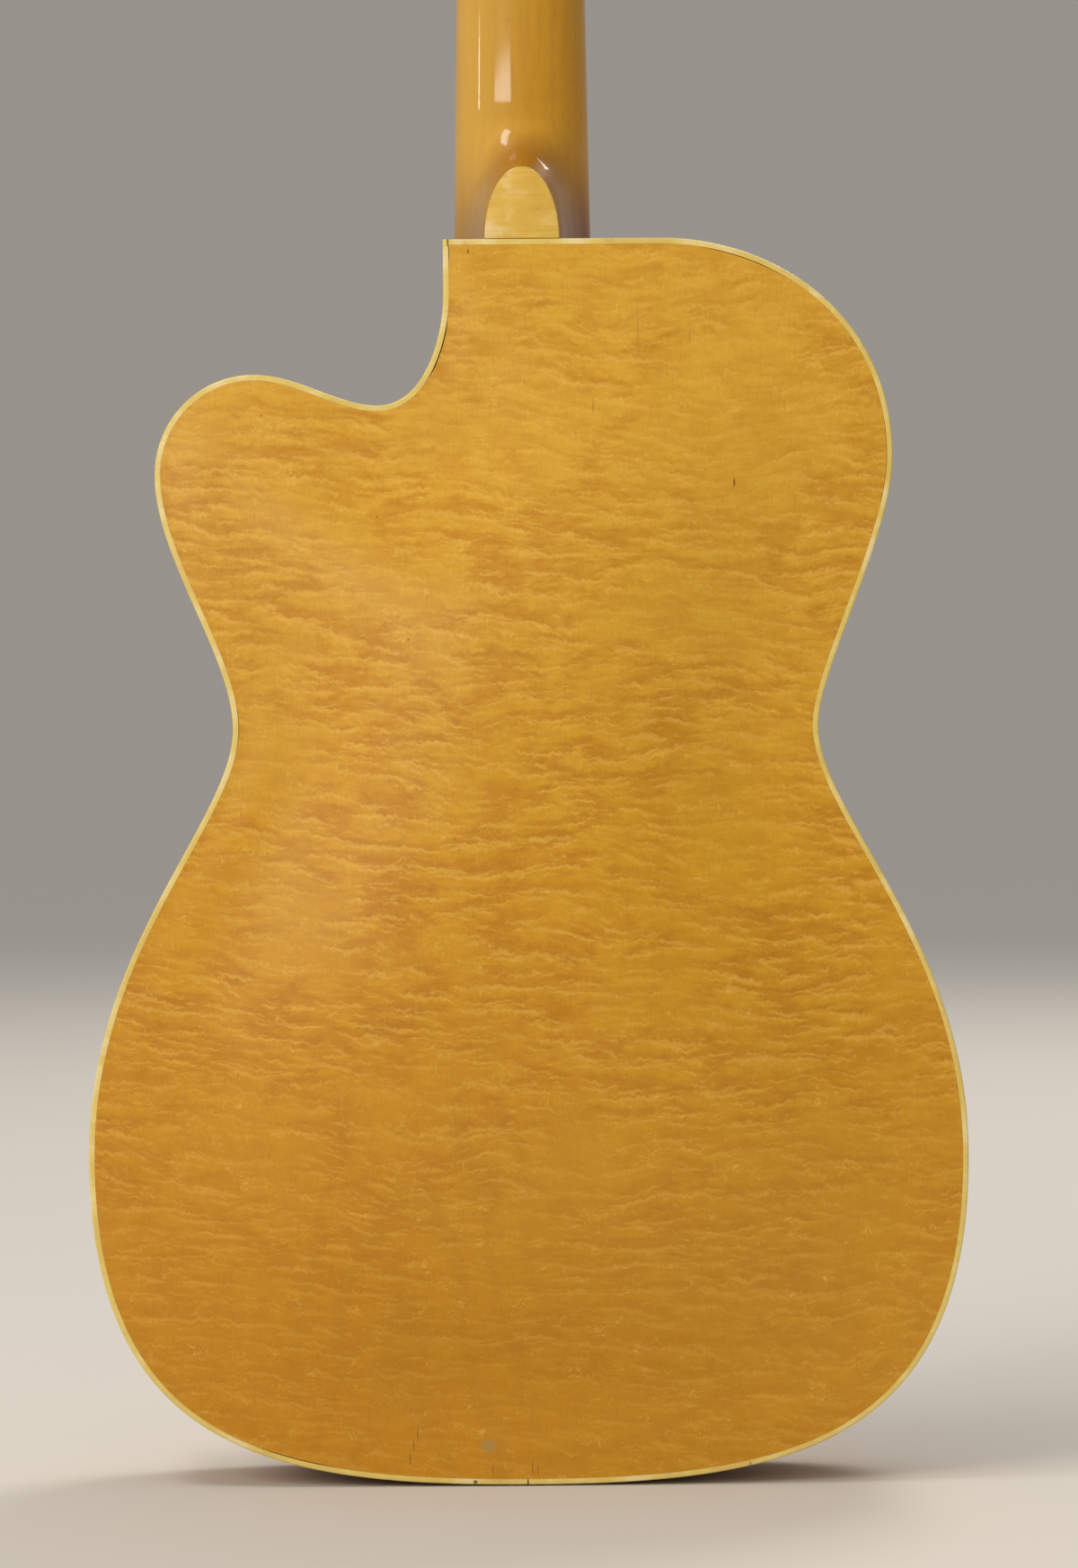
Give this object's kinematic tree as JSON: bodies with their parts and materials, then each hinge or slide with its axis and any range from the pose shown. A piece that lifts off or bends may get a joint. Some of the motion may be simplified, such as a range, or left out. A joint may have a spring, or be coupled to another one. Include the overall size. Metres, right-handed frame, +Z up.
{
  "type": "archtop guitar",
  "caption": "Acoustic archtop guitar with a rounded cutaway, carved plates, floating bridge, trapeze tailpiece and open-gear tuners.",
  "frame": {"origin": "the neck glue plane at the nut, where a hanger carries the guitar by the headstock", "axes": "+Z up along the neck, +X to the right as seen from behind (the bass side), the back faces -Y and the soundboard +Y"},
  "size_m": [0.3532, 0.125, 0.9998],
  "materials": {
    "figured_maple": "glossy amber lacquer over figured maple",
    "neck_maple": "glossy amber lacquer over plain maple",
    "spruce": "glossy amber lacquer over spruce",
    "inner_wood": "bare wood",
    "rosewood": "oiled dark rosewood",
    "binding": "aged cream celluloid",
    "heel_cap": "aged cream celluloid with faint grain lines",
    "bone": "polished bone",
    "black_veneer": "gloss black",
    "tortoise": "dark tortoise celluloid",
    "cream_button": "cream plastic",
    "steel": "plain steel",
    "nickel": "aged nickel plate",
    "brass": "aged brass",
    "bronze_string": "bronze winding",
    "plain_string": "plain steel wire"
  },
  "bodies": {
    "guitar": {"back_binding": "binding", "back_lining": "inner_wood", "back_plate": "figured_maple", "bridge_base": "rosewood", "bridge_stud_bass": "brass", "bridge_stud_treble": "brass", "fingerboard": "rosewood", "fingerboard_support": "neck_maple", "headstock_veneer": "black_veneer", "heel_cap": "heel_cap", "neck": "neck_maple", "neck_block": "inner_wood", "nut": "bone", "pickguard": "tortoise", "pickguard_bracket": "nickel", "rib_bass": "figured_maple", "rib_treble": "figured_maple", "string_1": "plain_string", "string_2": "plain_string", "string_3": "bronze_string", "string_4": "bronze_string", "string_5": "bronze_string", "string_6": "bronze_string", "tail_block": "inner_wood", "tailpiece_bracket": "nickel", "tailpiece_hinge_pin": "steel", "tone_bar_bass": "inner_wood", "tone_bar_treble": "inner_wood", "top_binding": "binding", "top_lining": "inner_wood", "top_plate": "spruce", "truss_rod": "steel", "truss_rod_cover": "black_veneer", "tuner_plate_bass": "nickel", "tuner_plate_treble": "nickel"},
    "bridge_saddle": {"bridge_saddle": "rosewood"},
    "thumbwheel_bass": {"thumbwheel_bass": "brass"},
    "thumbwheel_treble": {"thumbwheel_treble": "brass"},
    "tailpiece": {"tailpiece_trapeze": "nickel"},
    "truss_rod_nut": {"truss_rod_nut": "brass"},
    "tuner_key_bass_1": {"worm_shaft_bass_1": "nickel", "tuner_button_bass_1": "cream_button"},
    "string_post_bass_1": {"string_post_bass_1": "brass"},
    "tuner_key_bass_2": {"worm_shaft_bass_2": "nickel", "tuner_button_bass_2": "cream_button"},
    "string_post_bass_2": {"string_post_bass_2": "brass"},
    "tuner_key_bass_3": {"worm_shaft_bass_3": "nickel", "tuner_button_bass_3": "cream_button"},
    "string_post_bass_3": {"string_post_bass_3": "brass"},
    "tuner_key_treble_1": {"worm_shaft_treble_1": "nickel", "tuner_button_treble_1": "cream_button"},
    "string_post_treble_1": {"string_post_treble_1": "brass"},
    "tuner_key_treble_2": {"worm_shaft_treble_2": "nickel", "tuner_button_treble_2": "cream_button"},
    "string_post_treble_2": {"string_post_treble_2": "brass"},
    "tuner_key_treble_3": {"worm_shaft_treble_3": "nickel", "tuner_button_treble_3": "cream_button"},
    "string_post_treble_3": {"string_post_treble_3": "brass"}
  },
  "joints": [
    {"name": "bridge_lift", "type": "slide", "parent": "guitar", "child": "bridge_saddle", "axis": [0, 1, 0], "range_m": [-0.002, 0.003], "deforming": ["string_1", "string_2", "string_3", "string_4", "string_5", "string_6"]},
    {"name": "tuner_key_turn_bass_1", "type": "hinge", "parent": "guitar", "child": "tuner_key_bass_1", "pos_m": [0.0225, -0.02995, 0.03531], "axis": [1, 0, 0], "continuous": true},
    {"name": "string_post_turn_bass_1", "type": "hinge", "parent": "guitar", "child": "string_post_bass_1", "pos_m": [0.0225, -0.03257, 0.0434], "axis": [0, 0.9511, 0.309], "continuous": true},
    {"name": "tuner_key_turn_bass_2", "type": "hinge", "parent": "guitar", "child": "tuner_key_bass_2", "pos_m": [0.0225, -0.04169, 0.07145], "axis": [1, 0, 0], "continuous": true},
    {"name": "string_post_turn_bass_2", "type": "hinge", "parent": "guitar", "child": "string_post_bass_2", "pos_m": [0.0225, -0.04432, 0.07953], "axis": [0, 0.9511, 0.309], "continuous": true},
    {"name": "tuner_key_turn_bass_3", "type": "hinge", "parent": "guitar", "child": "tuner_key_bass_3", "pos_m": [0.0225, -0.05343, 0.10759], "axis": [1, 0, 0], "continuous": true},
    {"name": "string_post_turn_bass_3", "type": "hinge", "parent": "guitar", "child": "string_post_bass_3", "pos_m": [0.0225, -0.05606, 0.11568], "axis": [0, 0.9511, 0.309], "continuous": true},
    {"name": "tuner_key_turn_treble_1", "type": "hinge", "parent": "guitar", "child": "tuner_key_treble_1", "pos_m": [-0.0225, -0.02995, 0.03531], "axis": [1, 0, 0], "continuous": true},
    {"name": "string_post_turn_treble_1", "type": "hinge", "parent": "guitar", "child": "string_post_treble_1", "pos_m": [-0.0225, -0.03257, 0.0434], "axis": [0, 0.9511, 0.309], "continuous": true},
    {"name": "tuner_key_turn_treble_2", "type": "hinge", "parent": "guitar", "child": "tuner_key_treble_2", "pos_m": [-0.0225, -0.04169, 0.07145], "axis": [1, 0, 0], "continuous": true},
    {"name": "string_post_turn_treble_2", "type": "hinge", "parent": "guitar", "child": "string_post_treble_2", "pos_m": [-0.0225, -0.04432, 0.07953], "axis": [0, 0.9511, 0.309], "continuous": true},
    {"name": "tuner_key_turn_treble_3", "type": "hinge", "parent": "guitar", "child": "tuner_key_treble_3", "pos_m": [-0.0225, -0.05343, 0.10759], "axis": [1, 0, 0], "continuous": true},
    {"name": "string_post_turn_treble_3", "type": "hinge", "parent": "guitar", "child": "string_post_treble_3", "pos_m": [-0.0225, -0.05606, 0.11568], "axis": [0, 0.9511, 0.309], "continuous": true},
    {"name": "thumbwheel_turn_bass", "type": "hinge", "parent": "bridge_saddle", "child": "thumbwheel_bass", "pos_m": [0.036, 0.04477, -0.6327], "axis": [0, 1, 0], "range_deg": [-901, 1351]},
    {"name": "thumbwheel_turn_treble", "type": "hinge", "parent": "bridge_saddle", "child": "thumbwheel_treble", "pos_m": [-0.036, 0.04477, -0.6327], "axis": [0, 1, 0], "range_deg": [-901, 1351]},
    {"name": "tailpiece_swing", "type": "hinge", "parent": "guitar", "child": "tailpiece", "pos_m": [0, 0.02811, -0.84314], "axis": [1, 0, 0], "range_deg": [-1, 0.7]},
    {"name": "truss_rod_nut_turn", "type": "hinge", "parent": "guitar", "child": "truss_rod_nut", "pos_m": [0, -0.0059, 0.01262], "axis": [0, -0.0698, 0.9976], "range_deg": [-180, 180]}
  ],
  "couplings": [
    {"joint": "string_post_turn_bass_1", "follows": "tuner_key_turn_bass_1", "ratio": -0.071429},
    {"joint": "string_post_turn_bass_2", "follows": "tuner_key_turn_bass_2", "ratio": -0.071429},
    {"joint": "string_post_turn_bass_3", "follows": "tuner_key_turn_bass_3", "ratio": -0.071429},
    {"joint": "string_post_turn_treble_1", "follows": "tuner_key_turn_treble_1", "ratio": 0.071429},
    {"joint": "string_post_turn_treble_2", "follows": "tuner_key_turn_treble_2", "ratio": 0.071429},
    {"joint": "string_post_turn_treble_3", "follows": "tuner_key_turn_treble_3", "ratio": 0.071429},
    {"joint": "thumbwheel_turn_bass", "follows": "bridge_lift", "rad_per_m": 7854},
    {"joint": "thumbwheel_turn_treble", "follows": "bridge_lift", "rad_per_m": 7854},
    {"joint": "tailpiece_swing", "follows": "bridge_lift", "rad_per_m": -4.7519}
  ]
}
